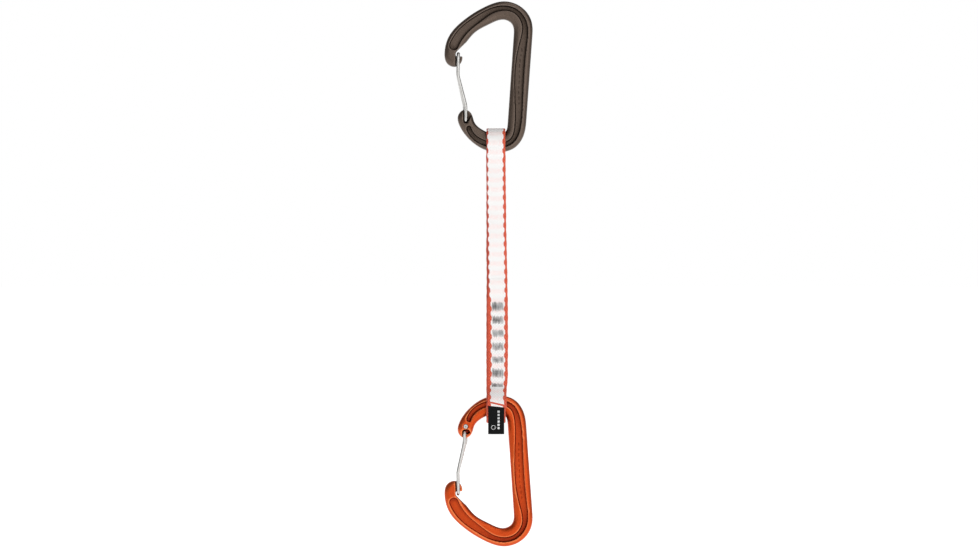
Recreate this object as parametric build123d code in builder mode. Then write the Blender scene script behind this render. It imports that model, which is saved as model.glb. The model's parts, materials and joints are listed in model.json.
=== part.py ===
from build123d import *
import math
import os

# Climbing quickdraw: two wire-gate carabiners joined by a narrow sewn sling, hanging straight down.
# Millimetres. The origin is the seat inside the crown of the upper carabiner, where the bolt hanger
# bears. +Z is up along the draw, +X runs from the gates to the spines, Y is across the thickness.

# Carabiner bar
BAR_HALF = 3.9  # half of the forged thickness
RIM_RADIUS = 2.6  # rounding of the bar where rope and webbing bear
GROOVE_DEPTH = 2.2  # the channel in each face that makes the bar an I-beam
SPINE_LEAN = (0.07, 1)  # the spine leans a little away from the gate towards the crown
# Edge of the bar at the top: inner crown, hook, round the nose, outer crown
UPPER_EDGE = [
    (5.6, -8), (4.3, -2.2), (0.3, 0), (-8.5, -2.5), (-17, -7.4), (-21.6, -12.6),
    (-24.3, -17.5), (-24.4, -23.5), (-28, -27.3), (-33, -25.6), (-34.6, -18.5),
    (-32.2, -9.8), (-23.6, -0.3), (-11, 7.6), (0, 10.7), (10.2, 7.2), (15.6, 0), (16.5, -8),
]  # fmt: skip
# Edge of the bar at the bottom: outer basket, round the hinge end, inner basket
LOWER_EDGE = [
    (12.9, -58.5), (11.4, -67), (6.3, -74.2), (-2, -76.9), (-11.5, -75.4), (-20, -69.7),
    (-25.8, -61.8), (-26.7, -55.4), (-23, -52.2), (-19.4, -54), (-17.2, -59.6),
    (-12.2, -64.1), (-4.6, -66.6), (0.8, -65), (2, -60.8),
]  # fmt: skip
# Groove: share of the way along the edge from the inner crown over the nose to the inner basket,
# width of the outer flange there, width of the groove there
GROOVE = [
    (0.242, 2.2, 5.2),
    (0.283, 2.2, 5.0),
    (0.328, 2.3, 4.0),
    (0.366, 2.4, 2.9),
    (0.417, 2.7, 2.6),
    (0.456, 3.0, 2.8),
    (0.507, 3.0, 4.4),
    (0.615, 3.0, 4.5),
    (0.666, 3.0, 3.4),
    (0.704, 2.8, 2.8),
    (0.762, 2.4, 2.9),
    (0.829, 2.6, 2.8),
]

# Wire gate: one bent wire with a leg on each face of the bar
WIRE_RADIUS = 0.95
LEG_Y = BAR_HALF - WIRE_RADIUS  # the legs lie flush with the faces
PIN = (-22.3, -59)  # the front leg turns in here, goes through the bar and is peened
STUB = (-23, -55.9)  # the rear leg turns in here and ends inside the bar
FRONT_ELBOW = (-22.3, -50)
REAR_ELBOW = (-23, -50.4)
KNEE = (-26.9, -32.3)
CROSSBAR = (-26.6, -19.8)
GATE_OPEN = 30  # degrees to fully open, inwards
TIGHT_BEND = 1.3  # bend radius where a leg turns into the bar
NOSE_BEND = 1.9
GENTLE_BEND = 12
PIN_CLEARANCE = 0.05
POCKET_CLEARANCE = 0.35
STUB_CLEARANCE = 0.25
PLATE_HALF = 1.8  # half thickness of the bar between the two legs at the hinge
TONGUE_HALF = 1.6  # half thickness of the hook between the two legs at the nose
NOSE_FACE = -28.2  # the wire closes against this face of the nose
TONGUE_TOP = -21.25
NOTCH_END = -20
CHEEK = 8  # the flats beside the hook are this long and wide
HOOK_SLOPE = [(-28.2, -19.2), (-27.6, -18.4), (-22.4, -13.4)]  # roof of the notch for the crossbar
STUB_END = 0.3  # how far from the mid plane the rear leg ends
HEAD_RADIUS = 1.15
HEAD_FROM = 3.55
HEAD_TO = 3.85
COUNTERSINK_RADIUS = 1.6
COUNTERSINK_DEPTH = 0.6
COUNTERSINK_TAPER = 45
DIMPLE_RADIUS = 0.5  # struck into the middle of the head
DIMPLE_DEPTH = 0.4
DIMPLE_TAPER = 20

# Sling: one strip of webbing, sewn three layers thick below a long open loop
WEB_WIDTH = 11.2
WEB_THICKNESS = 1.25
WEB_X = -4.8  # middle of the webbing
BIGHT_RADIUS = 6.8  # inside of the webbing round each bar
BOLT_BAR_Z = -70.8  # centre of the upper bight
ROPE_BAR_Z = -224.3  # centre of the lower bight
LEG_HALF = 1.5 * WEB_THICKNESS  # half of the three layers
TWIST_Z = -112  # the open loop turns about itself here
TWIST_GAP = 0.4
STRANDS_MEET_Z = -159  # the two strands close on the third layer here
FOLD_Z = -163  # the draw folds here, at the top of the stitching
FOLD_GAP = 0.5
SEWN_FOOT = -215.2
FLAP_Z = -223  # cut end of the front layer
TACKS = 7
TACK_TOP_Z = -166.7
TACK_PITCH = 7.68
TACK_SIZE = (6.3, 4.4)
TACK_PROUD = 0.25
LABEL_WIDTH = 9.3
LABEL_THICKNESS = 0.6
LABEL_GAP = 0.2  # between the label and the webbing behind it
LABEL_FOOT = -240.4

OUTSIDE = 60  # side of a cutting shape that reaches past the whole section
SLIVER = 0.2  # height of the foot that a bight is drawn together to

# The lower carabiner is the same part turned half a turn about X, with its basket in the lower bight
ROPE_END = Location((0, 0, ROPE_BAR_Z + BOLT_BAR_Z), (180, 0, 0))


def point_from(start, angle, length):
    """The point a length away from start, at an angle in degrees from +X towards +Z."""
    turn = math.radians(angle)
    return (start[0] + length * math.cos(turn), start[1] + length * math.sin(turn))


def when_open(point):
    """Where a point of the closed gate is when the gate is fully open."""
    turn = math.radians(GATE_OPEN)
    dx = point[0] - PIN[0]
    dz = point[1] - PIN[1]
    x = PIN[0] + dx * math.cos(turn) + dz * math.sin(turn)
    z = PIN[1] - dx * math.sin(turn) + dz * math.cos(turn)
    return (x, z)


def bar_edge():
    """The edge of the bar from the inner crown over the nose, down the spine to the inner basket."""
    lean = Vector(SPINE_LEAN)
    straight = (1, 1)  # no stretch at either end of a curve
    with BuildLine() as edge:
        Spline(*UPPER_EDGE, tangents=[lean, -lean], tangent_scalars=straight)
        Line(UPPER_EDGE[-1], LOWER_EDGE[0])
        Spline(*LOWER_EDGE, tangents=[-lean, lean], tangent_scalars=straight)
    return edge.wires()[0]


def groove_sides():
    """Points along the outer and the inner side of the groove, from the nose to the hinge end."""
    edge = bar_edge()
    outer_side = []
    inner_side = []
    for share, flange, width in GROOVE:
        at = edge.position_at(share)
        along = edge.tangent_at(share)
        inward = Vector(along.Y, -along.X)
        outer_side.append(at + inward * flange)
        inner_side.append(at + inward * (flange + width))
    return outer_side, inner_side


def fan(points, radius):
    """Face that covers a circle round each point, and what lies between the circles."""
    with BuildSketch() as cover:
        with Locations(*points):
            Circle(radius)
        make_hull()
    return cover.sketch


def face_plane(side, height):
    """The plane at a height above the mid plane. Side 1 is the front, at -Y, and -1 the rear."""
    return Plane.XZ.offset(side * height)


def front_fan():
    """What the front leg sweeps beside the bar as the gate opens."""
    past_the_end = 12
    closed = point_from(PIN, 90, past_the_end)
    opened = point_from(PIN, 90 - GATE_OPEN, past_the_end)
    return fan([PIN, closed, opened], WIRE_RADIUS + POCKET_CLEARANCE)


def rear_fan():
    """What the rear leg sweeps beside the bar as the gate opens. Its end moves round the pin."""
    past_the_end = 10
    closed = point_from(STUB, 90, past_the_end)
    opened = point_from(when_open(STUB), 90 - GATE_OPEN, past_the_end)
    return fan([STUB, when_open(STUB), closed, opened], WIRE_RADIUS + POCKET_CLEARANCE)


def carabiner_frame():
    """Forged bar of one carabiner, bent round from the hook at the nose to the gate hinge."""
    right_through = 4 * BAR_HALF
    outer_side, inner_side = groove_sides()
    with BuildPart() as frame:
        with BuildSketch(Plane.XZ):
            with BuildLine():
                add(bar_edge())
                Line(LOWER_EDGE[-1], UPPER_EDGE[0])
            make_face()
        extrude(amount=BAR_HALF, both=True)
        by_depth = frame.edges().group_by(Axis.Y)
        fillet(by_depth[0] + by_depth[-1], RIM_RADIUS)
        # Groove in each face, with round ends
        for side in (1, -1):
            with BuildSketch(face_plane(side, BAR_HALF - GROOVE_DEPTH)):
                with BuildLine():
                    outer = Spline(*outer_side)
                    inner = Spline(*inner_side)
                    TangentArc(outer @ 0, inner @ 0, tangent=-(outer % 0))
                    TangentArc(outer @ 1, inner @ 1, tangent=outer % 1)
                make_face()
            extrude(amount=side * right_through, mode=Mode.SUBTRACT)
        # Notch for the crossbar, right through behind the nose
        with BuildSketch(Plane.XZ):
            with BuildLine():
                Polyline((NOSE_FACE, TONGUE_TOP), *HOOK_SLOPE, (NOTCH_END, TONGUE_TOP), close=True)
            make_face()
        extrude(amount=right_through, both=True, mode=Mode.SUBTRACT)
        # Flats beside the hook, so that the two legs of the gate pass outside it
        for side in (1, -1):
            with BuildSketch(face_plane(side, TONGUE_HALF)):
                with Locations((NOSE_FACE, TONGUE_TOP)):
                    Rectangle(CHEEK, CHEEK, align=(Align.MIN, Align.MAX))
            extrude(amount=side * right_through, mode=Mode.SUBTRACT)
        # Pockets beside the hinge plate
        for side, pocket in ((1, front_fan()), (-1, rear_fan())):
            with BuildSketch(face_plane(side, PLATE_HALF)):
                add(pocket)
            extrude(amount=side * right_through, mode=Mode.SUBTRACT)
        # Hole for the pin, countersunk at the rear, and the pocket for the end of the rear leg
        with BuildSketch(Plane.XZ):
            with Locations(PIN):
                Circle(WIRE_RADIUS + PIN_CLEARANCE)
        extrude(amount=right_through, both=True, mode=Mode.SUBTRACT)
        with BuildSketch(face_plane(-1, BAR_HALF)):
            with Locations(PIN):
                Circle(COUNTERSINK_RADIUS)
        extrude(amount=COUNTERSINK_DEPTH, taper=COUNTERSINK_TAPER, mode=Mode.SUBTRACT)
        with BuildSketch(Plane.XZ):
            add(fan([STUB, when_open(STUB)], WIRE_RADIUS + STUB_CLEARANCE))
        extrude(amount=-right_through, mode=Mode.SUBTRACT)
    return frame.part


def gate_wire():
    """Sprung gate of one carabiner: pin, front leg, crossbar, rear leg and its end."""
    front = -LEG_Y
    rear = LEG_Y
    with BuildPart() as gate:
        with BuildLine() as path:
            FilletPolyline(
                (PIN[0], HEAD_FROM, PIN[1]),
                (PIN[0], front, PIN[1]),
                (FRONT_ELBOW[0], front, FRONT_ELBOW[1]),
                (KNEE[0], front, KNEE[1]),
                (CROSSBAR[0], front, CROSSBAR[1]),
                (CROSSBAR[0], rear, CROSSBAR[1]),
                (KNEE[0], rear, KNEE[1]),
                (REAR_ELBOW[0], rear, REAR_ELBOW[1]),
                (STUB[0], rear, STUB[1]),
                (STUB[0], STUB_END, STUB[1]),
                radius=[
                    TIGHT_BEND, GENTLE_BEND, GENTLE_BEND, NOSE_BEND,
                    NOSE_BEND, GENTLE_BEND, GENTLE_BEND, TIGHT_BEND,
                ],
            )  # fmt: skip
        with BuildSketch(Plane(path.line @ 0, z_dir=path.line % 0)):
            Circle(WIRE_RADIUS)
        sweep()
        # Peened head in the countersink, with the dimple that the peening leaves
        with BuildSketch(face_plane(-1, HEAD_FROM)):
            with Locations(PIN):
                Circle(HEAD_RADIUS)
        extrude(amount=HEAD_FROM - HEAD_TO)
        with BuildSketch(face_plane(-1, HEAD_TO)):
            with Locations(PIN):
                Circle(DIMPLE_RADIUS)
        extrude(amount=DIMPLE_DEPTH, taper=DIMPLE_TAPER, mode=Mode.SUBTRACT)
    return gate.part


def webbing_shape(bar_z, radius, foot_z, foot_half):
    """Side view of a bight: a circle round the bar, drawn together to a foot."""
    with BuildSketch() as shape:
        with Locations((0, bar_z)):
            Circle(radius)
        with Locations((0, foot_z)):
            Rectangle(2 * foot_half, SLIVER)
        make_hull()
    return shape.sketch


def height_band(low, high):
    """Side view of everything between two heights."""
    with BuildSketch() as band:
        with Locations((0, (low + high) / 2)):
            Rectangle(OUTSIDE, high - low)
    return band.sketch


def open_loop(low, high):
    """The part of the open loop between two heights: two strands, and the bight above them."""
    outside = BIGHT_RADIUS + WEB_THICKNESS
    with BuildPart() as strands:
        with BuildSketch(Plane.YZ.offset(WEB_X)):
            add(webbing_shape(BOLT_BAR_Z, outside, FOLD_Z, LEG_HALF))
            inside = webbing_shape(BOLT_BAR_Z, BIGHT_RADIUS, STRANDS_MEET_Z, WEB_THICKNESS / 2)
            add(inside, mode=Mode.SUBTRACT)
            add(height_band(low, high), mode=Mode.INTERSECT)
        extrude(amount=WEB_WIDTH / 2, both=True)
    return strands.part


def sewn_leg():
    """The sewn part, the lower bight round its bar, and the cut end of the front layer."""
    outside = BIGHT_RADIUS + WEB_THICKNESS
    with BuildPart() as leg:
        with BuildSketch(Plane.YZ.offset(WEB_X)):
            with Locations((0, FOLD_Z)):
                Circle(LEG_HALF)
            with Locations((0, (FOLD_Z + SEWN_FOOT) / 2)):
                Rectangle(2 * LEG_HALF, FOLD_Z - SEWN_FOOT)
            add(webbing_shape(ROPE_BAR_Z, outside, SEWN_FOOT, LEG_HALF))
            add(front_flap())
            inside = webbing_shape(ROPE_BAR_Z, BIGHT_RADIUS, SEWN_FOOT, WEB_THICKNESS / 2)
            add(inside, mode=Mode.SUBTRACT)
        extrude(amount=WEB_WIDTH / 2, both=True)
    return leg.part


def front_flap():
    """Side view of the front layer, which ends outside the lower bight."""
    outside = BIGHT_RADIUS + 2 * WEB_THICKNESS
    with BuildSketch() as flap:
        add(webbing_shape(ROPE_BAR_Z, outside, SEWN_FOOT, LEG_HALF))
        with Locations((0, FLAP_Z)):
            Rectangle(OUTSIDE, OUTSIDE, align=(Align.MIN, Align.CENTER), mode=Mode.SUBTRACT)
            Rectangle(OUTSIDE, OUTSIDE, align=(Align.CENTER, Align.MAX), mode=Mode.SUBTRACT)
    return flap.sketch


def bartack(number):
    """One zigzag of stitching, which stands a little proud of the front and rear layers."""
    z = TACK_TOP_Z - number * TACK_PITCH
    with BuildPart() as tack:
        for side in (1, -1):
            with BuildSketch(face_plane(side, LEG_HALF)):
                with Locations((WEB_X, z)):
                    Rectangle(*TACK_SIZE)
            extrude(amount=side * TACK_PROUD)
    return tack.part


def label():
    """Folded label, sewn in under the front layer and hanging in front of the lower bight."""
    back = BIGHT_RADIUS + WEB_THICKNESS + LABEL_GAP
    with BuildPart() as tab:
        with BuildSketch(face_plane(1, back)):
            with Locations((WEB_X, FLAP_Z)):
                Rectangle(LABEL_WIDTH, FLAP_Z - LABEL_FOOT, align=(Align.CENTER, Align.MAX))
        extrude(amount=LABEL_THICKNESS)
    return tab.part


def write(name, place, piece):
    """Puts a finished piece at its place and writes its STEP file."""
    with BuildPart() as placed:
        with Locations(place):
            add(piece)
    placed.part.label = name
    export_step(placed.part, f"parts/{name}.step")


os.makedirs("parts", exist_ok=True)
here = Location((0, 0, 0))
frame = carabiner_frame()
gate = gate_wire()
write("bolt_carabiner_frame", here, frame)
write("bolt_gate_wire", here, gate)
write("rope_carabiner_frame", ROPE_END, frame)
write("rope_gate_wire", ROPE_END, gate)
write("sling_upper_loop", here, open_loop(TWIST_Z + TWIST_GAP / 2, 0))
write("sling_strands", here, open_loop(FOLD_Z + LEG_HALF + FOLD_GAP, TWIST_Z - TWIST_GAP / 2))
write("sling_sewn_leg", here, sewn_leg())
for number in range(TACKS):
    write(f"bartack_{number + 1}", here, bartack(number))
write("label_tab", here, label())
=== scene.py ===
import cmath
import json
import math
import random

import bmesh
import bpy
import numpy as np
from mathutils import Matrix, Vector
from mathutils.bvhtree import BVHTree


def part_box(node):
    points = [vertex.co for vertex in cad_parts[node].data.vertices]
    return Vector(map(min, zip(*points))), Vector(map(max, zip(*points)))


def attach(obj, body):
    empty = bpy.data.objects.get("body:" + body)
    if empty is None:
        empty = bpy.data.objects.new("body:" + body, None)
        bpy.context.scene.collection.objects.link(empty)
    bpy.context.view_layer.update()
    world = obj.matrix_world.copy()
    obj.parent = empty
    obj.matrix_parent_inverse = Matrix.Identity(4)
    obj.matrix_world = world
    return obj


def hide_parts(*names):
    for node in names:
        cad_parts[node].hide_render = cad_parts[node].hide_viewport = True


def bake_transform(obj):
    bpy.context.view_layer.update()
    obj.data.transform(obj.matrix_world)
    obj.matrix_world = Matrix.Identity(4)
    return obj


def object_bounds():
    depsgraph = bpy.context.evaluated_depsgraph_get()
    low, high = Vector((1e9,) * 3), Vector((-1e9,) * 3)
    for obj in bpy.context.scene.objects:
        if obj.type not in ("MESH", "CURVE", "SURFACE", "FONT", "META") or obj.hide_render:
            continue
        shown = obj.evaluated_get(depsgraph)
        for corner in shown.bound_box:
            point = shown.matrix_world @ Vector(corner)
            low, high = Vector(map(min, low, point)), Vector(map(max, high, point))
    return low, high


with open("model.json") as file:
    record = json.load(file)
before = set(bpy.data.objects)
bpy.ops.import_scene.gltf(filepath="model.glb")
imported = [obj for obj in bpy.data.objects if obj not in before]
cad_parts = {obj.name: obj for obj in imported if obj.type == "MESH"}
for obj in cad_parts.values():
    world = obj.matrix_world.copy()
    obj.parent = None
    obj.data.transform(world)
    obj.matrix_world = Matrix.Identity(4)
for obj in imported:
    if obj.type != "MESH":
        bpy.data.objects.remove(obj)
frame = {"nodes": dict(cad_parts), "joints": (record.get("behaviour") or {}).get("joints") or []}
cad_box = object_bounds()
random.seed(11)

# Climbing quickdraw. Metres, in the CAD's frame: +Z up along the draw, +X from the gates to the
# spines, Y across the thickness, with the front of the draw at -Y.
MM = 0.001

# ---------------------------------------------------------------- places, read from the frame


def joint_height(name):
    """Height of a joint's axis."""
    return next(j["pos_m"][2] for j in frame["joints"] if j["name"] == name)


loop_low, loop_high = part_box("sling_upper_loop")
label_low, label_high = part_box("label_tab")
TACKS = sorted(n for n in frame["nodes"] if n.startswith("bartack_"))

WEB_X = (loop_low.x + loop_high.x) / 2  # middle of the webbing
WEB_WIDTH = loop_high.x - loop_low.x
BOLT_BAR_Z = joint_height("sling_swing")
ROPE_BAR_Z = joint_height("rope_swing")
FOLD_Z = joint_height("sling_fold")
FLAP_Z = label_high.z  # the CAD's front layer ends and its label begins here
LABEL_WIDTH = label_high.x - label_low.x

# ---------------------------------------------------------------- sizes of the visual pieces

# Webbing
THICKNESS = 1.25 * MM
BIGHT_RADIUS = loop_high.y - THICKNESS / 2  # middle of the webbing round each bar
LEG_FOOT_Z = FLAP_Z + 10 * MM  # the layers part here, above the lower bight
LAYER_END_Z = FOLD_Z + 2 * MM  # the strip's other end, between the two strands
SEAM_Z = -150 * MM  # the open loop's piece ends and the stitched piece begins
STEP = 0.3 * MM  # from one row of the webbing's mesh to the next
SOFTENING = 1.0 * MM  # rounding of the path where straights meet bends
BEND_POINTS = 60  # points round each bar, before the path is evened
ACROSS = 34  # faces across the webbing
CROWDING = 0.65  # how much those faces crowd towards the edges
EDGE_ROUNDING = 5  # higher is squarer
EDGE_FULLNESS = 1 / 3  # lower is squarer
MIDDLE_SHARE = 0.95  # the middle is a little thinner than the webbing
EDGE_ROLL = 0.35  # and the edges are thicker by this share
EDGE_ROLL_POWER = 8  # higher is nearer to the edge
EDGE_ROLL_BEAT = 0.3  # the roll swings by this share with the bands
BAND = 5.4 * MM  # one repeat of the weave
YARN = 0.8 * MM  # one warp yarn
PICK = 0.9 * MM  # one weft yarn
YARN_RELIEF = 0.05 * MM  # how far the yarns stand out
BAND_RELIEF = 0.07 * MM  # and the bands
SCALLOP = 0.16 * MM  # how far the edges swing in and out
SCALLOP_WANDER = 0.4  # share of that which comes and goes at random
WAVINESS = 0.12 * MM  # how far the webbing strays from its path
WANDER_SEED = 5
WANDER_ROWS = 60  # the random swings are about this long
WANDER_SCALE = 5.5  # brings them to about 1
WANDER_LAG = 300  # rows between the edge's swings and the path's
FRONT_SHIFT = 1.2 * MM  # the front layer lies this far off to the side in the stitched part
FRONT_SPREAD = 0.055  # and it is this much wider there
SHIFT_FROM_Z = -75 * MM  # the shift begins here
SHIFT_TO_Z = -185 * MM  # and is full here
FLAP_RETURN = 0.55 * MM  # its free end comes back by this much, clear of the carabiner's spine
RETURN_FROM_Z = -205 * MM  # the return begins here
RETURN_TO_Z = -217 * MM  # and is full here
REAR_SHIFT = 0.05 * MM  # the other layers lie this far off to the side
SLACK = 1.3  # the lower bight hangs this much deeper than round
CUT_Z = FLAP_Z - 1.4 * MM  # middle of the cut end
CUT_SLOPE = 0.11  # the cut end runs down towards +X
CUT_REACH = 12 * MM  # the slope dies out over this length
CUT_LINE = 1.55 * MM  # the red line's place along the strip, from the cut end
CUT_LINE_SLOPE = 0.12  # it comes nearer to the cut end towards +X
STITCHED_LENGTH = FOLD_Z - CUT_Z  # along the strip, from the cut end to the top of the stitching

# Red edges
RED_NARROW = 1.2 * MM  # least width in each band
RED_WIDE = 1.8 * MM  # and most
RED_STITCHED = 0.4 * MM  # wider by this much where the front layer is stitched
RED_FROM_EDGE = 0.17 * MM  # the widths are counted from this far outside the webbing's edge
RED_RAGGED = 0.45 * MM  # the red's inner limit wanders inwards by up to this much
RED_FEATHER = 0.14 * MM  # half of the width over which red goes over to white
RED_CUT = 0.6 * MM  # the -X edge is narrower by this much above the stitching

# Stitching
THREAD_RADIUS = 0.15 * MM
THREAD_SIDES = 6
THREAD_SUNK = 0.14 * MM  # each strand's ends dip this far below the face
THREAD_CROWN = 0.3 * MM  # and its middle stands this far above its ends
THREAD_FULLNESS = 0.6  # lower is flatter-topped
THREAD_STRAY = 0.03 * MM
STRAND_POINTS = 7
TACK_BOTTOM = (0.84, 1.26)  # where a strand ends, as a share of half the height
TACK_TOP = (0.84, 1.2)
STRANDS = 19  # in one bar-tack
TACK_REACH = 1.1  # the thread reaches a little past the bar-tack's plain block
LAST_TACK_SHARE = 0.72  # the last bar-tack is shorter

# Label
LABEL_LAYER = 0.24 * MM
LABEL_GAP = 0.25 * MM  # between the label and the webbing behind it
LABEL_SHIFT = 0.15 * MM  # the label sits off to the side, with the front layer
LABEL_X = (label_low.x + label_high.x) / 2 + LABEL_SHIFT
LABEL_STRAIGHT = 0.4 * MM  # it is straight from this far below FLAP_Z
LABEL_BEND = 2.4 * MM  # and bends in this far above FLAP_Z
LABEL_BEND_BACK = -7.6 * MM  # Y of the rear layer there
LABEL_BEND_FRONT = -7.95 * MM  # and of the front layer
LABEL_TUCK = complex(-5.8 * MM, 4.6 * MM)  # its hidden end: Y, and the height above FLAP_Z
FOLD_POINTS = 12

# Label's mark
BLOCKS = 6
BLOCK_PITCH = 1.9 * MM
BLOCKS_TOP = 3.8 * MM  # below FLAP_Z
BLOCKS_X = LABEL_X + 0.15 * LABEL_WIDTH
BLOCK_LINES = 6
LINE_PITCH = 0.2 * MM
LINE_HALF = 0.62 * MM
LINE_THICK = 0.11 * MM
RING_X = LABEL_X - 0.17 * LABEL_WIDTH
RING_Z = label_low.z + 4 * MM
RING_LINES = 16
RING_RADIUS = 1.15 * MM
RING_HALF = 0.28 * MM
RING_THICK = 0.13 * MM
STITCH_Y = label_low.y + 0.03 * MM  # ends of a stitch's middle line
STITCH_CROWN = 0.04 * MM  # and how far its middle stands out in front of them
STITCH_SHARES = np.linspace(-1, 1, 7)

# Carabiners
VOXEL = 0.3 * MM  # of the bars' mesh
SMOOTHING_PASSES = 24
EVENING_PASSES = 8  # of the sharpness, which is above 0 on edges and below 0 in corners
EDGES = (0.012, 0.055)  # sharpness at which the painted highlight begins, and is full
CORNERS = (-0.02, -0.12)  # and the painted shade
HOLLOWS = (1.0, 0.48)  # share of open sky at which the painted shade begins, and is full
MARKS = 11  # raised dashes in the groove of the spine
MARK_PITCH = 3.1 * MM
MARK_LONG = 0.85 * MM  # half lengths
MARK_SHORT = 0.5 * MM
MARK_SHORT_EVERY = 3
MARK_RADIUS = 0.32 * MM
MARK_SIDES = 10
MARK_POINTS = 9
MARK_DEPTH = 1.56 * MM  # from the mid plane to the middle of a dash
GROOVE_FLOOR = (1.5 * MM, 1.9 * MM)  # the groove's floor lies between these, from the mid plane
SPINE_REACH = 13 * MM  # the groove is looked for this far in from the outside of the spine
PROBE_STEP = 0.1 * MM
PROBE_FROM = 20 * MM

# Studio
VIEW_WIDTH = 0.568  # what the picture spans at the object
VIEW_MIDDLE = Vector((-8.8 * MM, 0, -148.2 * MM))
CAMERA_DISTANCE = 2.5
SENSOR = 36  # millimetres, as the lens is
FLOOR_GAP = 0.025
FLOOR_RADIUS = 60
FLOOR_LEVEL = 0.85
FLOOR_GLOW = 0.85
SKY_LEVEL = 0.24
SOFTBOXES = (  # name, place, size and power
    ("front_softbox", (0.7, -1.6, 0.3), 1.8, 13.5),
    ("rear_softbox", (-0.7, 1.7, 0.3), 1.8, 8),
    ("top_softbox", (0.6, -0.5, 1.5), 1.2, 7),
)

# ---------------------------------------------------------------- nodes


def node(tree, kind, **settings):
    """A new shader node with its settings."""
    made = tree.nodes.new("ShaderNode" + kind)
    for name, value in settings.items():
        setattr(made, name, value)
    return made


def feed(tree, socket, value):
    """Links a socket, or sets a number or a colour."""
    if isinstance(value, bpy.types.NodeSocket):
        tree.links.new(value, socket)
    else:
        socket.default_value = value


def maths(tree, operation, *values):
    """One step of a formula."""
    step = node(tree, "Math", operation=operation)
    for socket, value in zip(step.inputs, values):
        feed(tree, socket, value)
    return step.outputs[0]


def rise(tree, value, low, high, bottom=0.0, top=1.0):
    """Goes smoothly from bottom to top as the value goes from low to high."""
    step = node(tree, "MapRange", interpolation_type="SMOOTHSTEP")
    for name, number in (("From Min", low), ("From Max", high), ("To Min", bottom), ("To Max", top)):
        step.inputs[name].default_value = number
    feed(tree, step.inputs["Value"], value)
    return step.outputs["Result"]


def wave(tree, value, length, phase=0.0):
    """Swings between 0 and 1 once in each length."""
    turn = maths(tree, "MULTIPLY_ADD", value, 2 * math.pi / length, phase)
    return maths(tree, "MULTIPLY_ADD", maths(tree, "COSINE", turn), 0.5, 0.5)


def noise(tree, at, size, detail=2.0, stretch=(1, 1, 1)):
    """Noise with lumps of about this size, stretched along the axes."""
    scaled = node(tree, "Mapping")
    scaled.inputs["Scale"].default_value = [1 / (size * s) for s in stretch]
    tree.links.new(at, scaled.inputs["Vector"])
    lumps = node(tree, "TexNoise")
    lumps.inputs["Scale"].default_value = 1
    lumps.inputs["Detail"].default_value = detail
    tree.links.new(scaled.outputs[0], lumps.inputs["Vector"])
    return lumps.outputs["Fac"]


def mixed(tree, share, first, second):
    """Goes from the first colour to the second."""
    step = node(tree, "Mix", data_type="RGBA")
    feed(tree, step.inputs["Factor"], share)
    feed(tree, step.inputs["A"], first)
    feed(tree, step.inputs["B"], second)
    return step.outputs["Result"]


def bump(tree, shader, height, depth, strength=1.0):
    """Bumps of this depth on the surface."""
    step = node(tree, "Bump")
    step.inputs["Strength"].default_value = strength
    step.inputs["Distance"].default_value = depth
    tree.links.new(height, step.inputs["Height"])
    tree.links.new(step.outputs["Normal"], shader.inputs["Normal"])


def new_material(name, roughness, **settings):
    """A material with its node tree and its shader, and the shader's fixed values."""
    material = bpy.data.materials.new(name)
    material.use_nodes = True
    tree = material.node_tree
    shader = tree.nodes["Principled BSDF"]
    shader.inputs["Roughness"].default_value = roughness
    for key, value in settings.items():
        shader.inputs[key.replace("_", " ")].default_value = value
    return material, tree, shader


def grey(level):
    """A grey, from 0 for black to 1 for white."""
    return (level, level, level, 1)


# ---------------------------------------------------------------- materials


def anodised(name, dye, deep, edge_highlight):
    """Satin anodised aluminium: blasted grain, painted shade in hollows and corners, painted
    highlights on edges.
    """
    material, tree, shader = new_material(
        name, 0.4, Metallic=0.94, Coat_Weight=0.06, Coat_Roughness=0.3
    )
    at = node(tree, "TexCoord").outputs["Object"]
    sharp = node(tree, "Attribute", attribute_name="sharpness").outputs["Fac"]
    cloud = noise(tree, at, 9 * MM, 3)
    colour = mixed(tree, rise(tree, cloud, 0.3, 0.7), dye, mixed(tree, 0.12, dye, deep))
    # Painted shade: the colour goes over to the deep tone where the open sky is closed off, in
    # grooves and hollows
    open_sky = node(tree, "AmbientOcclusion", samples=8)
    open_sky.inputs["Distance"].default_value = 3 * MM
    colour = mixed(tree, rise(tree, open_sky.outputs["AO"], *HOLLOWS), colour, deep)
    # Painted shade in concave corners
    colour = mixed(tree, rise(tree, sharp, *CORNERS), colour, deep)
    # Painted highlight: a paler colour on convex edges, broken up by noise
    scuff_and_highlight_noise = noise(tree, at, 0.8 * MM, 4)
    highlight_breakup = rise(tree, scuff_and_highlight_noise, 0.1, 0.6, 0.35, 0.65)
    edge = maths(tree, "MULTIPLY", rise(tree, sharp, *EDGES), highlight_breakup)
    colour = mixed(tree, edge, colour, edge_highlight)
    tree.links.new(colour, shader.inputs["Base Color"])
    tree.links.new(rise(tree, scuff_and_highlight_noise, 0.3, 0.7, 0.36, 0.46), shader.inputs["Roughness"])
    bump(tree, shader, noise(tree, at, 0.16 * MM, 2), 0.01 * MM, 0.25)
    return material


def polished_wire():
    """Bright drawn stainless steel: fine lines along the wire, a few dull patches, painted shade in
    corners.
    """
    material, tree, shader = new_material("gate_steel", 0.2, Metallic=1.0)
    at = node(tree, "TexCoord").outputs["Object"]
    lines = noise(tree, at, 0.4 * MM, 1, (1, 1, 30))
    patches = noise(tree, at, 5 * MM, 2)
    colour = mixed(tree, rise(tree, lines, 0.2, 0.8), (0.56, 0.55, 0.53, 1), (0.62, 0.61, 0.59, 1))
    # Painted shade: the steel goes dark where the open sky is closed off, in corners and hollows
    open_sky = node(tree, "AmbientOcclusion", samples=8)
    open_sky.inputs["Distance"].default_value = 1 * MM
    colour = mixed(tree, rise(tree, open_sky.outputs["AO"], 0.8, 0.3), colour, (0.12, 0.11, 0.1, 1))
    tree.links.new(colour, shader.inputs["Base Color"])
    tree.links.new(rise(tree, patches, 0.35, 0.7, 0.38, 0.45), shader.inputs["Roughness"])
    return material


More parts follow.
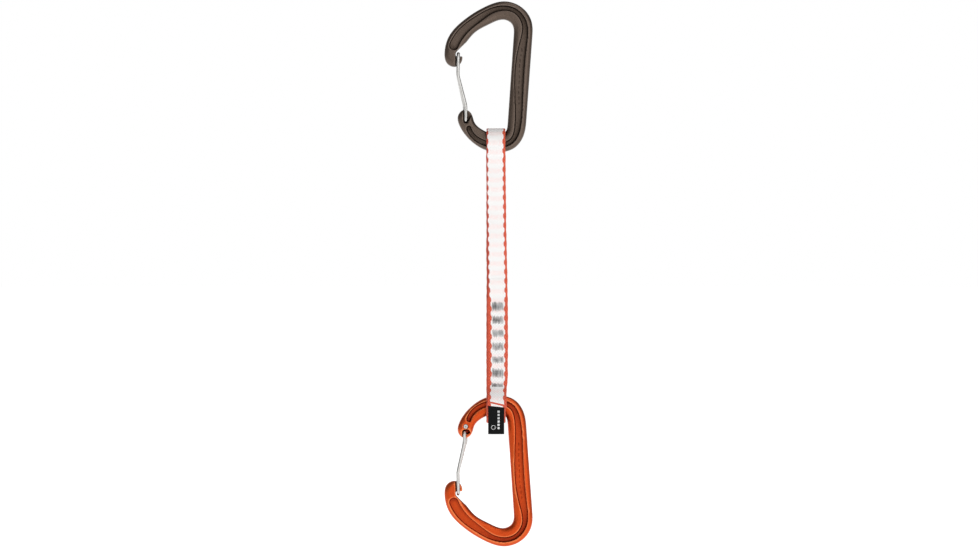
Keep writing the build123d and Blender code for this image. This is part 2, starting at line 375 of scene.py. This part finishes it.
RED_YARN = (0.74, 0.1, 0.036, 1)
# Shaded copy of the red yarn, for the weave's painted shade
SHADED_RED_YARN = (0.42, 0.035, 0.015, 1)
WHITE_YARN = (0.93, 0.92, 0.91, 1)
SHADED_YARN = (0.78, 0.76, 0.75, 1)
PINK_YARN = (0.92, 0.66, 0.63, 1)


def weave_shade(tree, strip, across, along):
    """Light and dark of the weave: warp yarns over and under the weft, and their fibres."""
    warp = wave(tree, across, 2 * YARN)
    weft = wave(tree, along, 2 * PICK)
    crossing = maths(tree, "ABSOLUTE", maths(tree, "SUBTRACT", warp, weft))
    fibres = noise(tree, strip, 0.07 * MM, 2, (1, 14, 1))
    return maths(tree, "MULTIPLY_ADD", fibres, 0.7, maths(tree, "MULTIPLY", crossing, 0.3))


def pink_share(tree, strip, along):
    """Pink bands, uneven as the weft shows through."""
    band = rise(tree, wave(tree, along, BAND, 0.9), 0.1, 0.9)
    patchy = rise(tree, noise(tree, strip, 0.9 * MM, 2, (1, 0.7, 1)), 0.35, 0.62)
    return maths(tree, "MULTIPLY", maths(tree, "MULTIPLY", band, patchy), 0.6)


def narrow_shaded_edge(tree, across, along):
    """1 at the -X edge of the front strand above the stitching, where red is narrower, and darker as
    painted shade.
    """
    left = maths(tree, "LESS_THAN", across, 0.0)
    above = rise(tree, along, STITCHED_LENGTH, STITCHED_LENGTH + 15 * MM)
    below_top = rise(tree, along, STRIP_TOP - 5 * MM, STRIP_TOP + 5 * MM, 1, 0)
    return maths(tree, "MULTIPLY", left, maths(tree, "MULTIPLY", above, below_top))


def red_share(tree, strip, across, along, narrow_and_shaded):
    """Red edges, wider once in each band and where the front layer is stitched."""
    swing = rise(tree, wave(tree, along, BAND), 0.1, 0.9, RED_NARROW, RED_WIDE)
    stitched = rise(tree, along, STITCHED_LENGTH, STITCHED_LENGTH + 6 * MM, RED_STITCHED, 0)
    swing = maths(tree, "ADD", swing, stitched)
    ragged = maths(tree, "MULTIPLY", noise(tree, strip, 0.35 * MM, 2), RED_RAGGED)
    width = maths(tree, "SUBTRACT", swing, maths(tree, "MULTIPLY", narrow_and_shaded, RED_CUT))
    inner = maths(tree, "SUBTRACT", WEB_WIDTH / 2 + RED_FROM_EDGE, maths(tree, "ADD", width, ragged))
    past = maths(tree, "SUBTRACT", maths(tree, "ABSOLUTE", across), inner)
    return rise(tree, past, -RED_FEATHER, RED_FEATHER)


def woven():
    """Narrow sling webbing: white yarns, faint pink bands, and red edges that swing in and out.

    The strip attribute holds, in metres, the place across the webbing and the place along it.
    """
    material, tree, shader = new_material("webbing", 0.62, Sheen_Weight=0.25, Sheen_Roughness=0.4)
    strip = node(tree, "Attribute", attribute_name="strip").outputs["Vector"]
    parts = node(tree, "SeparateXYZ")
    tree.links.new(strip, parts.inputs[0])
    across, along = parts.outputs["X"], parts.outputs["Y"]
    shade = weave_shade(tree, strip, across, along)
    white = mixed(tree, rise(tree, shade, 0.25, 0.6), SHADED_YARN, WHITE_YARN)
    white = mixed(tree, pink_share(tree, strip, along), white, PINK_YARN)
    narrow_and_shaded = narrow_shaded_edge(tree, across, along)
    # Painted shade: the red of the -X edge darker above the stitching, as on the side turned from
    # the light
    red_shade = maths(tree, "MULTIPLY_ADD", narrow_and_shaded, -0.2, shade)
    red = mixed(tree, rise(tree, red_shade, 0.25, 0.6), SHADED_RED_YARN, RED_YARN)
    colour = mixed(tree, red_share(tree, strip, across, along, narrow_and_shaded), white, red)
    # Red line just above the fused end
    sloping = maths(tree, "MULTIPLY_ADD", across, CUT_LINE_SLOPE, along)
    from_line = maths(tree, "ABSOLUTE", maths(tree, "SUBTRACT", sloping, CUT_LINE))
    colour = mixed(tree, rise(tree, from_line, 0.6 * MM, 0.45 * MM), colour, red)
    tree.links.new(colour, shader.inputs["Base Color"])
    bump(tree, shader, shade, 0.09 * MM, 0.6)
    return material


def threads(name, dark, light):
    """Twisted sewing thread."""
    material, tree, shader = new_material(name, 0.55, Sheen_Weight=0.2, Sheen_Roughness=0.4)
    at = node(tree, "TexCoord").outputs["Object"]
    fibres = noise(tree, at, 0.09 * MM, 2, (1, 1, 5))
    tone = noise(tree, at, 0.9 * MM, 1, (1, 1, 6))
    shade = maths(tree, "MULTIPLY_ADD", tone, 0.7, maths(tree, "MULTIPLY", fibres, 0.3))
    colour = mixed(tree, rise(tree, shade, 0.36, 0.62), dark, light)
    tree.links.new(colour, shader.inputs["Base Color"])
    bump(tree, shader, fibres, 0.05 * MM, 0.6)
    return material


def label_cloth():
    """Black woven ribbon with fine ribs."""
    material, tree, shader = new_material(
        "label_cloth", 0.85, Sheen_Weight=0.03, Specular_IOR_Level=0.12
    )
    at = node(tree, "TexCoord").outputs["Object"]
    parts = node(tree, "SeparateXYZ")
    tree.links.new(at, parts.inputs[0])
    ribs = wave(tree, parts.outputs["Z"], 0.3 * MM)
    yarns = wave(tree, parts.outputs["X"], 0.22 * MM)
    fibres = noise(tree, at, 0.12 * MM, 2)
    height = maths(tree, "MULTIPLY_ADD", ribs, yarns, maths(tree, "MULTIPLY", fibres, 0.5))
    # Painted shade and highlight: the hollows between ribs and yarns darker than their tops, with
    # fibre noise
    colour = mixed(tree, rise(tree, height, 0.1, 1.1), grey(0.003), (0.011, 0.011, 0.012, 1))
    tree.links.new(colour, shader.inputs["Base Color"])
    bump(tree, shader, height, 0.05 * MM, 0.7)
    return material


def paint(piece, material):
    """Gives a piece its one material."""
    piece.data.materials.clear()
    piece.data.materials.append(material)


# ---------------------------------------------------------------- meshes


def mesh_piece(name, points, faces, material):
    """A smooth-shaded mesh object with its faces turned outwards."""
    mesh = bpy.data.meshes.new(name)
    mesh.from_pydata([tuple(p) for p in points], [], faces)
    form = bmesh.new()
    form.from_mesh(mesh)
    bmesh.ops.recalc_face_normals(form, faces=form.faces)
    form.to_mesh(mesh)
    form.free()
    mesh.shade_smooth()
    piece = bpy.data.objects.new(name, mesh)
    bpy.context.collection.objects.link(piece)
    paint(piece, material)
    return piece


def skin(rings, count, first=0):
    """Faces of a closed tube of rings with this many points each, with strips across both ends."""
    faces = []
    for i in range(rings - 1):
        for j in range(count):
            k = (j + 1) % count
            a = first + i * count
            faces.append((a + j, a + k, a + count + k, a + count + j))
    for a in (first, first + (rings - 1) * count):
        faces += cap(a, count)
    return faces


def cap(a, count):
    """Faces across one ring, between its two halves."""
    faces = [(a, a + 1, a + count - 1)]
    half = count // 2
    for j in range(1, half - 1):
        faces.append((a + j, a + j + 1, a + count - j - 1, a + count - j))
    faces.append((a + half - 1, a + half, a + half + 1))
    return faces


def tube(path, radius, sides):
    """Points of a round tube along a path."""
    path = np.array(path)
    ahead = np.gradient(path, axis=0)
    ahead /= np.linalg.norm(ahead, axis=1)[:, None]
    points = []
    side = np.array((0.0, 1.0, 0.0))
    for at, along in zip(path, ahead):
        side = side - along * (side @ along)
        side /= np.linalg.norm(side)
        third = np.cross(along, side)
        for k in range(sides):
            turn = 2 * math.pi * k / sides
            points.append(at + radius * (side * math.cos(turn) + third * math.sin(turn)))
    return points


def tubes(runs, sides=THREAD_SIDES):
    """Points and faces of round tubes, from their paths and radii."""
    points = []
    faces = []
    for path, radius in runs:
        faces += skin(len(path), sides, len(points))
        points += tube(path, radius, sides)
    return points, faces


# ---------------------------------------------------------------- webbing

BOLT_BAR = complex(0, BOLT_BAR_Z)  # places in the YZ plane are complex numbers, y + z j
ROPE_BAR = complex(0, ROPE_BAR_Z)


def touching(outside, bar, radius, side):
    """Angle round the bar at which a line from outside touches a circle, on the side of +Y or -Y."""
    away = outside - bar
    spread = math.acos(radius / abs(away))
    choices = [cmath.phase(away) + spread, cmath.phase(away) - spread]
    return max(choices, key=lambda turn: side * math.cos(turn))


def arc(bar, radius, start, end):
    """Points round a bar from one angle to another."""
    return [bar + cmath.rect(radius, turn) for turn in np.linspace(start, end, BEND_POINTS)]


def front_flap():
    """The front layer round the outside of the lower bight, from its cut end up to the stitching."""
    foot = complex(-THICKNESS, LEG_FOOT_Z)
    radius = BIGHT_RADIUS + THICKNESS + LABEL_LAYER
    leaves = touching(foot, ROPE_BAR, radius, -1)
    ends = math.pi - math.asin((CUT_Z - ROPE_BAR_Z) / radius)
    return arc(ROPE_BAR, radius, ends, leaves) + [foot]


def upper_bight():
    """Up the front strand, over the bolt carabiner's bar and down the rear strand."""
    front = complex(-THICKNESS, LAYER_END_Z)
    rear = front.conjugate() * -1
    starts = touching(front, BOLT_BAR, BIGHT_RADIUS, -1) % (2 * math.pi)
    ends = touching(rear, BOLT_BAR, BIGHT_RADIUS, 1)
    return [front, *arc(BOLT_BAR, BIGHT_RADIUS, starts, ends), rear]


def lower_bight():
    """Down the rear layer, round the rope carabiner's bar and up between the other two layers."""
    rear = complex(THICKNESS, LEG_FOOT_Z)
    middle = complex(0, LEG_FOOT_Z + THICKNESS)
    starts = touching(rear, ROPE_BAR, BIGHT_RADIUS, 1)
    ends = touching(middle, ROPE_BAR, BIGHT_RADIUS, -1) - 2 * math.pi
    bend = arc(ROPE_BAR, BIGHT_RADIUS, starts, ends)
    sagging = [p - 1j * (SLACK - 1) * max(0, ROPE_BAR_Z - p.imag) for p in bend]
    return [rear, *sagging, middle, complex(0, LAYER_END_Z)]


def even(path):
    """The same path with points one step apart."""
    path = np.array(path)
    along = np.concatenate(([0], np.cumsum(np.abs(np.diff(path)))))
    places = np.arange(0, along[-1], STEP)
    return np.interp(places, along, path.real) + 1j * np.interp(places, along, path.imag)


def softened(path):
    """The same path with its corners rounded by a bell-shaped mean, and its two ends kept."""
    reach = int(3 * SOFTENING / STEP)
    weights = np.exp(-0.5 * (np.arange(-reach, reach + 1) * STEP / SOFTENING) ** 2)
    weights /= weights.sum()
    before = path[0] - (path[1] - path[0]) * np.arange(reach, 0, -1)
    after = path[-1] + (path[-1] - path[-2]) * np.arange(1, reach + 1)
    return np.convolve(np.concatenate((before, path, after)), weights, "valid")


def glide(value, low, high):
    """Smoothly from 0 to 1 as a value goes from low to high."""
    share = np.clip((value - low) / (high - low), 0, 1)
    return share * share * (3 - 2 * share)


def front_slide(z):
    """How far the front layer lies off to the side at a height."""
    shift = FRONT_SHIFT * glide(-z, -SHIFT_FROM_Z, -SHIFT_TO_Z)
    return shift - FLAP_RETURN * glide(-z, -RETURN_FROM_Z, -RETURN_TO_Z)


def rear_slide(z):
    """How far the other layers lie off to the side at a height."""
    return REAR_SHIFT * glide(-z, -SHIFT_FROM_Z, -SHIFT_TO_Z)


def ring_profile():
    """Place across, from -1 to 1, and place through, from -1 to 1, of the points of a section."""
    even_turn = np.linspace(-1, 1, ACROSS + 1)
    across = (1 - CROWDING) * even_turn + CROWDING * np.sin(even_turn * math.pi / 2)
    through = (1 - np.abs(across) ** EDGE_ROUNDING) ** EDGE_FULLNESS
    return (
        np.concatenate((across, across[-2:0:-1])),
        np.concatenate((through, -through[-2:0:-1])),
    )


def section(row, across, through):
    """Points round one section of the strip, and their places along the strip."""
    middle = STRIP_PATH[row]
    along = row * STEP
    on_front = along < STRIP_TOP
    beat = math.cos(2 * math.pi * along / BAND)
    spread = 1 + FRONT_SPREAD * front_slide(middle.imag) / FRONT_SHIFT if on_front else 1
    scallop = SCALLOP * (beat - 1) / 2 + SCALLOP * SCALLOP_WANDER * WANDER[row]
    x = across * (WEB_WIDTH / 2 * spread + scallop)
    yarns = np.cos(math.pi * x / YARN) * math.cos(math.pi * along / PICK)
    roll = EDGE_ROLL * np.abs(across) ** EDGE_ROLL_POWER * (1 + EDGE_ROLL_BEAT * beat)
    half_thick = THICKNESS / 2 * (MIDDLE_SHARE + roll) + BAND_RELIEF * beat / 2 + YARN_RELIEF * yarns
    depth = through * half_thick + WAVINESS * WANDER[(row + WANDER_LAG) % len(WANDER)]
    fall = CUT_SLOPE * (1 - glide(along, 0, CUT_REACH)) if on_front else 0
    place = middle + STRIP_OUT[row] * depth - 1j * fall * x
    shift = front_slide(middle.imag) if on_front else rear_slide(middle.imag)
    return list(zip(WEB_X + x + shift, place.real, place.imag)), [(a / spread, along, 0) for a in x]


def webbing(name, stretches, material):
    """Lengths of the strip as closed meshes with the weave in relief. Rows index the whole path."""
    across, through = ring_profile()
    points = []
    places = []
    faces = []
    for rows in stretches:
        faces += skin(len(rows), len(across), len(points))
        for row in rows:
            ring, where = section(row, across, through)
            points += ring
            places += where
    piece = mesh_piece(name, points, faces, material)
    strip = piece.data.attributes.new("strip", "FLOAT_VECTOR", "POINT")
    strip.data.foreach_set("vector", np.array(places, np.float32).ravel())
    return piece


def make_sling(material):
    """The strip as two pieces, which meet between the twist and the fold."""
    heights = STRIP_PATH.imag
    top = int(STRIP_TOP / STEP)
    front = next(i for i in range(top) if heights[i] > SEAM_Z)
    rear = next(i for i in range(top, len(heights)) if heights[i] < SEAM_Z)
    loop = webbing("webbing_open_loop", [range(front - 1, rear + 1)], material)
    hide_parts("sling_upper_loop", "sling_strands")
    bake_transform(loop)
    leg = webbing("webbing_stitched", [range(front), range(rear, len(heights))], material)
    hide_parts("sling_sewn_leg")
    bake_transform(leg)


STRIP_PATH = softened(even(front_flap() + upper_bight() + lower_bight()))
STRIP_OUT = 1j * np.gradient(STRIP_PATH) / np.abs(np.gradient(STRIP_PATH))
STRIP_TOP = STEP * int(np.argmax(STRIP_PATH.imag))  # along the strip, from the cut end to the top
WANDER = np.convolve(
    np.random.default_rng(WANDER_SEED).normal(size=len(STRIP_PATH)),
    np.hanning(WANDER_ROWS) / WANDER_SCALE,
    "same",
)

# ---------------------------------------------------------------- stitching


def zigzag(node_name, side):
    """Path of one bar-tack's thread on the front or the rear face."""
    low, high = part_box(node_name)
    half_tall = TACK_REACH * (high.z - low.z) / 2
    if node_name == TACKS[-1]:
        half_tall *= LAST_TACK_SHARE
    middle_z = (low.z + high.z) / 2
    surface = 1.5 * THICKNESS
    middle_x = WEB_X + (front_slide(middle_z) if side < 0 else rear_slide(middle_z))
    half_wide = (high.x - low.x) / 2
    path = []
    for strand in range(STRANDS):
        up = 1 if strand % 2 else -1
        x_from = -half_wide + 2 * half_wide * strand / STRANDS
        x_to = -half_wide + 2 * half_wide * (strand + 1) / STRANDS
        bottom = -half_tall * random.uniform(*TACK_BOTTOM)
        top = half_tall * random.uniform(*TACK_TOP)
        for share in np.arange(STRAND_POINTS) / STRAND_POINTS:
            z = (bottom + (top - bottom) * share) * up
            crown = math.sin(math.pi * share) ** THREAD_FULLNESS
            y = surface - THREAD_SUNK + THREAD_CROWN * crown
            x = x_from + (x_to - x_from) * share + random.uniform(-THREAD_STRAY, THREAD_STRAY)
            path.append((middle_x + x, side * y, middle_z + z))
    return path


def make_tacks(material):
    """Each bar-tack as one thread on the front face and one on the rear face."""
    for number, name in enumerate(TACKS, 1):
        points, faces = tubes([(zigzag(name, side), THREAD_RADIUS) for side in (-1, 1)])
        tack = mesh_piece(f"bartack_thread_{number}", points, faces, material)
        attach(tack, "sling_leg")
        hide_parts(name)


# ---------------------------------------------------------------- label


def label_path():
    """The folded ribbon in the YZ plane: down the back, round the fold and up the front."""
    back = -(BIGHT_RADIUS + THICKNESS / 2 + LABEL_GAP + LABEL_LAYER / 2)
    front = label_low.y + LABEL_LAYER / 2
    fold = complex((back + front) / 2, label_low.z + (back - front) / 2 + LABEL_LAYER / 2)
    radius = (back - front) / 2
    bend_z = FLAP_Z + LABEL_BEND
    straight_z = FLAP_Z - LABEL_STRAIGHT
    tucked = LABEL_TUCK + 1j * FLAP_Z
    down = [tucked, complex(LABEL_BEND_BACK, bend_z), complex(back, straight_z)]
    turn = [fold + cmath.rect(radius, a) for a in np.linspace(0, -math.pi, FOLD_POINTS)]
    up = [complex(front, straight_z), complex(LABEL_BEND_FRONT, bend_z)]
    return even(down + turn + up)


def make_label(cloth):
    """The folded ribbon of the label."""
    path = label_path()
    ahead = np.gradient(path)
    outward = 1j * ahead / np.abs(ahead)
    across, through = ring_profile()
    points = []
    for place, out in zip(path, outward):
        x = LABEL_X + across * LABEL_WIDTH / 2
        at = place + out * (through * LABEL_LAYER / 2)
        points += zip(x, at.real, at.imag)
    tab = mesh_piece("label_ribbon", points, skin(len(path), len(across)), cloth)
    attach(tab, "sling_leg")
    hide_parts("label_tab")


def stitch(x, z, half):
    """Path of one satin stitch, flat on the label."""
    return [(x + half * t, STITCH_Y - STITCH_CROWN * (1 - t * t), z) for t in STITCH_SHARES]


def make_label_mark(thread):
    """The label's woven mark: a row of plain blocks and a ring."""
    runs = []
    for block in range(BLOCKS):
        for line in range(BLOCK_LINES):
            z = FLAP_Z - BLOCKS_TOP - block * BLOCK_PITCH - line * LINE_PITCH
            runs.append((stitch(BLOCKS_X, z, LINE_HALF), LINE_THICK))
    for line in range(RING_LINES):
        turn = 2 * math.pi * line / RING_LINES
        x = RING_X + RING_RADIUS * math.cos(turn)
        z = RING_Z + RING_RADIUS * math.sin(turn)
        runs.append((stitch(x, z, RING_HALF), RING_THICK))
    points, faces = tubes(runs)
    mark = mesh_piece("label_mark", points, faces, thread)
    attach(mark, "sling_leg")


# ---------------------------------------------------------------- carabiners


def sharpness(mesh):
    """How sharp the surface is at each vertex: above 0 on edges and below 0 in corners."""
    count = len(mesh.vertices)
    places = np.empty(3 * count)
    normals = np.empty(3 * count)
    ends = np.empty(2 * len(mesh.edges), int)
    mesh.vertices.foreach_get("co", places)
    mesh.vertices.foreach_get("normal", normals)
    mesh.edges.foreach_get("vertices", ends)
    first, second = ends.reshape(-1, 2).T
    neighbours = np.bincount(ends, minlength=count)

    def around(values):
        """Mean of the values at each vertex's neighbours."""
        total = np.bincount(first, values[second], count) + np.bincount(second, values[first], count)
        return total / neighbours

    sharp = np.zeros(count)
    for axis in range(3):
        sharp += (places[axis::3] - around(places[axis::3])) * normals[axis::3] / VOXEL
    for _ in range(EVENING_PASSES):
        sharp = (sharp + around(sharp)) / 2
    return sharp


def plain_copy(node_name, piece_name):
    """A CAD node's mesh as a new object, with its doubled vertices merged."""
    source = frame["nodes"][node_name]
    piece = source.copy()
    piece.data = source.data.copy()
    piece.name = piece_name
    piece.parent = None
    for key in list(piece.keys()):
        del piece[key]
    bpy.context.collection.objects.link(piece)
    form = bmesh.new()
    form.from_mesh(piece.data)
    bmesh.ops.remove_doubles(form, verts=form.verts, dist=0.001 * MM)
    form.to_mesh(piece.data)
    form.free()
    return piece


def soften_edges(piece):
    """Gives a piece a fine even mesh with its edges rounded soft."""
    remesh = piece.modifiers.new("forging", "REMESH")
    remesh.mode = "VOXEL"
    remesh.voxel_size = VOXEL
    soften = piece.modifiers.new("soft_edges", "SMOOTH")
    soften.factor = 0.5
    soften.iterations = SMOOTHING_PASSES
    shaped = piece.evaluated_get(bpy.context.evaluated_depsgraph_get())
    mesh = bpy.data.meshes.new_from_object(shaped)
    piece.modifiers.clear()
    piece.data = mesh
    mesh.shade_smooth()


def forged(node_name, piece_name, body, material):
    """The bar of a carabiner with the soft edges of a forging, from a fine remesh of the CAD."""
    piece = plain_copy(node_name, piece_name)
    soften_edges(piece)
    sharp = piece.data.attributes.new("sharpness", "FLOAT", "POINT")
    sharp.data.foreach_set("value", sharpness(piece.data).astype(np.float32))
    paint(piece, material)
    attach(piece, body)
    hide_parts(node_name)


def groove_at(tree, spine_x, z, side):
    """Middle of the spine's groove at a height, found by probing the bar's face."""
    deep = []
    for x in np.arange(spine_x - SPINE_REACH, spine_x, PROBE_STEP):
        hit = tree.ray_cast(Vector((x, side * PROBE_FROM, z)), Vector((0, -side, 0)))[0]
        if hit and GROOVE_FLOOR[0] < side * hit.y < GROOVE_FLOOR[1]:
            deep.append(x)
    return sum(deep) / len(deep)


def make_marks(node_name, piece_name, body, material):
    """Plain raised dashes along the groove of the spine, on both faces."""
    source = frame["nodes"][node_name]
    form = bmesh.new()
    form.from_mesh(source.data)
    tree = BVHTree.FromBMesh(form)
    form.free()
    low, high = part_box(node_name)
    middle_z = (low.z + high.z) / 2
    runs = []
    for side in (-1, 1):
        for mark in range(MARKS):
            z = middle_z + (mark - (MARKS - 1) / 2) * MARK_PITCH
            x = groove_at(tree, high.x, z, side)
            half = MARK_LONG if mark % MARK_SHORT_EVERY else MARK_SHORT
            shares = np.linspace(-1, 1, MARK_POINTS)
            runs.append(([(x, side * MARK_DEPTH, z + half * t) for t in shares], MARK_RADIUS))
    points, faces = tubes(runs, MARK_SIDES)
    marks = mesh_piece(piece_name, points, faces, material)
    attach(marks, body)


# ---------------------------------------------------------------- studio


def make_camera():
    """Straight-on camera with a long lens."""
    camera = bpy.data.objects.new("camera", bpy.data.cameras.new("camera"))
    bpy.context.collection.objects.link(camera)
    camera.location = VIEW_MIDDLE - Vector((0, CAMERA_DISTANCE, 0))
    camera.rotation_euler = (math.pi / 2, 0, 0)
    camera.data.sensor_width = SENSOR
    camera.data.lens = SENSOR * CAMERA_DISTANCE / VIEW_WIDTH
    bpy.context.scene.camera = camera


def make_softbox(name, place, size, power):
    """A square soft light, aimed at the middle of the object."""
    light = bpy.data.lights.new(name, "AREA")
    light.size = size
    light.energy = power
    lamp = bpy.data.objects.new(name, light)
    bpy.context.collection.objects.link(lamp)
    lamp.location = place
    lamp.rotation_euler = (VIEW_MIDDLE - Vector(place)).to_track_quat("-Z", "Y").to_euler()
    lamp.visible_camera = False


def make_world():
    """Even grey light all round, behind a plain white backdrop."""
    world = bpy.data.worlds.new("studio")
    world.use_nodes = True
    tree = world.node_tree
    around = tree.nodes["Background"]
    around.inputs["Color"].default_value = grey(SKY_LEVEL)
    backdrop = node(tree, "Background")
    backdrop.inputs["Color"].default_value = grey(1.0)
    choose = node(tree, "MixShader")
    tree.links.new(node(tree, "LightPath").outputs["Is Camera Ray"], choose.inputs[0])
    tree.links.new(around.outputs[0], choose.inputs[1])
    tree.links.new(backdrop.outputs[0], choose.inputs[2])
    tree.links.new(choose.outputs[0], tree.nodes["World Output"].inputs["Surface"])
    bpy.context.scene.world = world


def make_floor():
    """Plain pale floor under the hanging draw."""
    form = bmesh.new()
    bmesh.ops.create_circle(form, cap_ends=True, radius=FLOOR_RADIUS, segments=96)
    mesh = bpy.data.meshes.new("floor")
    form.to_mesh(mesh)
    form.free()
    floor = bpy.data.objects.new("floor", mesh)
    bpy.context.collection.objects.link(floor)
    floor.location = (0, 0, cad_box[0].z - FLOOR_GAP)
    material, tree, shader = new_material("floor", 0.9)
    shader.inputs["Base Color"].default_value = grey(FLOOR_LEVEL)
    shader.inputs["Emission Color"].default_value = grey(1)
    shader.inputs["Emission Strength"].default_value = FLOOR_GLOW
    paint(floor, material)


def make_studio():
    """Camera, world, floor and softboxes, with colours shown as they are."""
    make_camera()
    make_world()
    make_floor()
    for softbox in SOFTBOXES:
        make_softbox(*softbox)
    bpy.context.scene.view_settings.view_transform = "Standard"


# ---------------------------------------------------------------- the quickdraw

make_studio()
# Each metal's second colour is a darker tone and painted shade, and its third is a painted highlight
grey_metal = anodised(
    "bolt_anodised",
    dye=(0.108, 0.079, 0.062, 1),
    deep=(0.028, 0.018, 0.012, 1),
    edge_highlight=(0.15, 0.115, 0.095, 1),
)
orange_metal = anodised(
    "rope_anodised",
    dye=(0.58, 0.067, 0.009, 1),
    deep=(0.2, 0.011, 0.002, 1),
    edge_highlight=(0.9, 0.28, 0.1, 1),
)
for end, metal in (("bolt", grey_metal), ("rope", orange_metal)):
    bar = f"{end}_carabiner_frame"
    forged(bar, f"{end}_carabiner_bar", f"{end}_carabiner", metal)
    make_marks(bar, f"{end}_spine_marks", f"{end}_carabiner", metal)
steel = polished_wire()
for end in ("bolt", "rope"):
    paint(frame["nodes"][f"{end}_gate_wire"], steel)
make_sling(woven())
make_tacks(threads("grey_thread", grey(0.13), grey(0.5)))
make_label(label_cloth())
make_label_mark(threads("white_thread", grey(0.55), grey(0.85)))
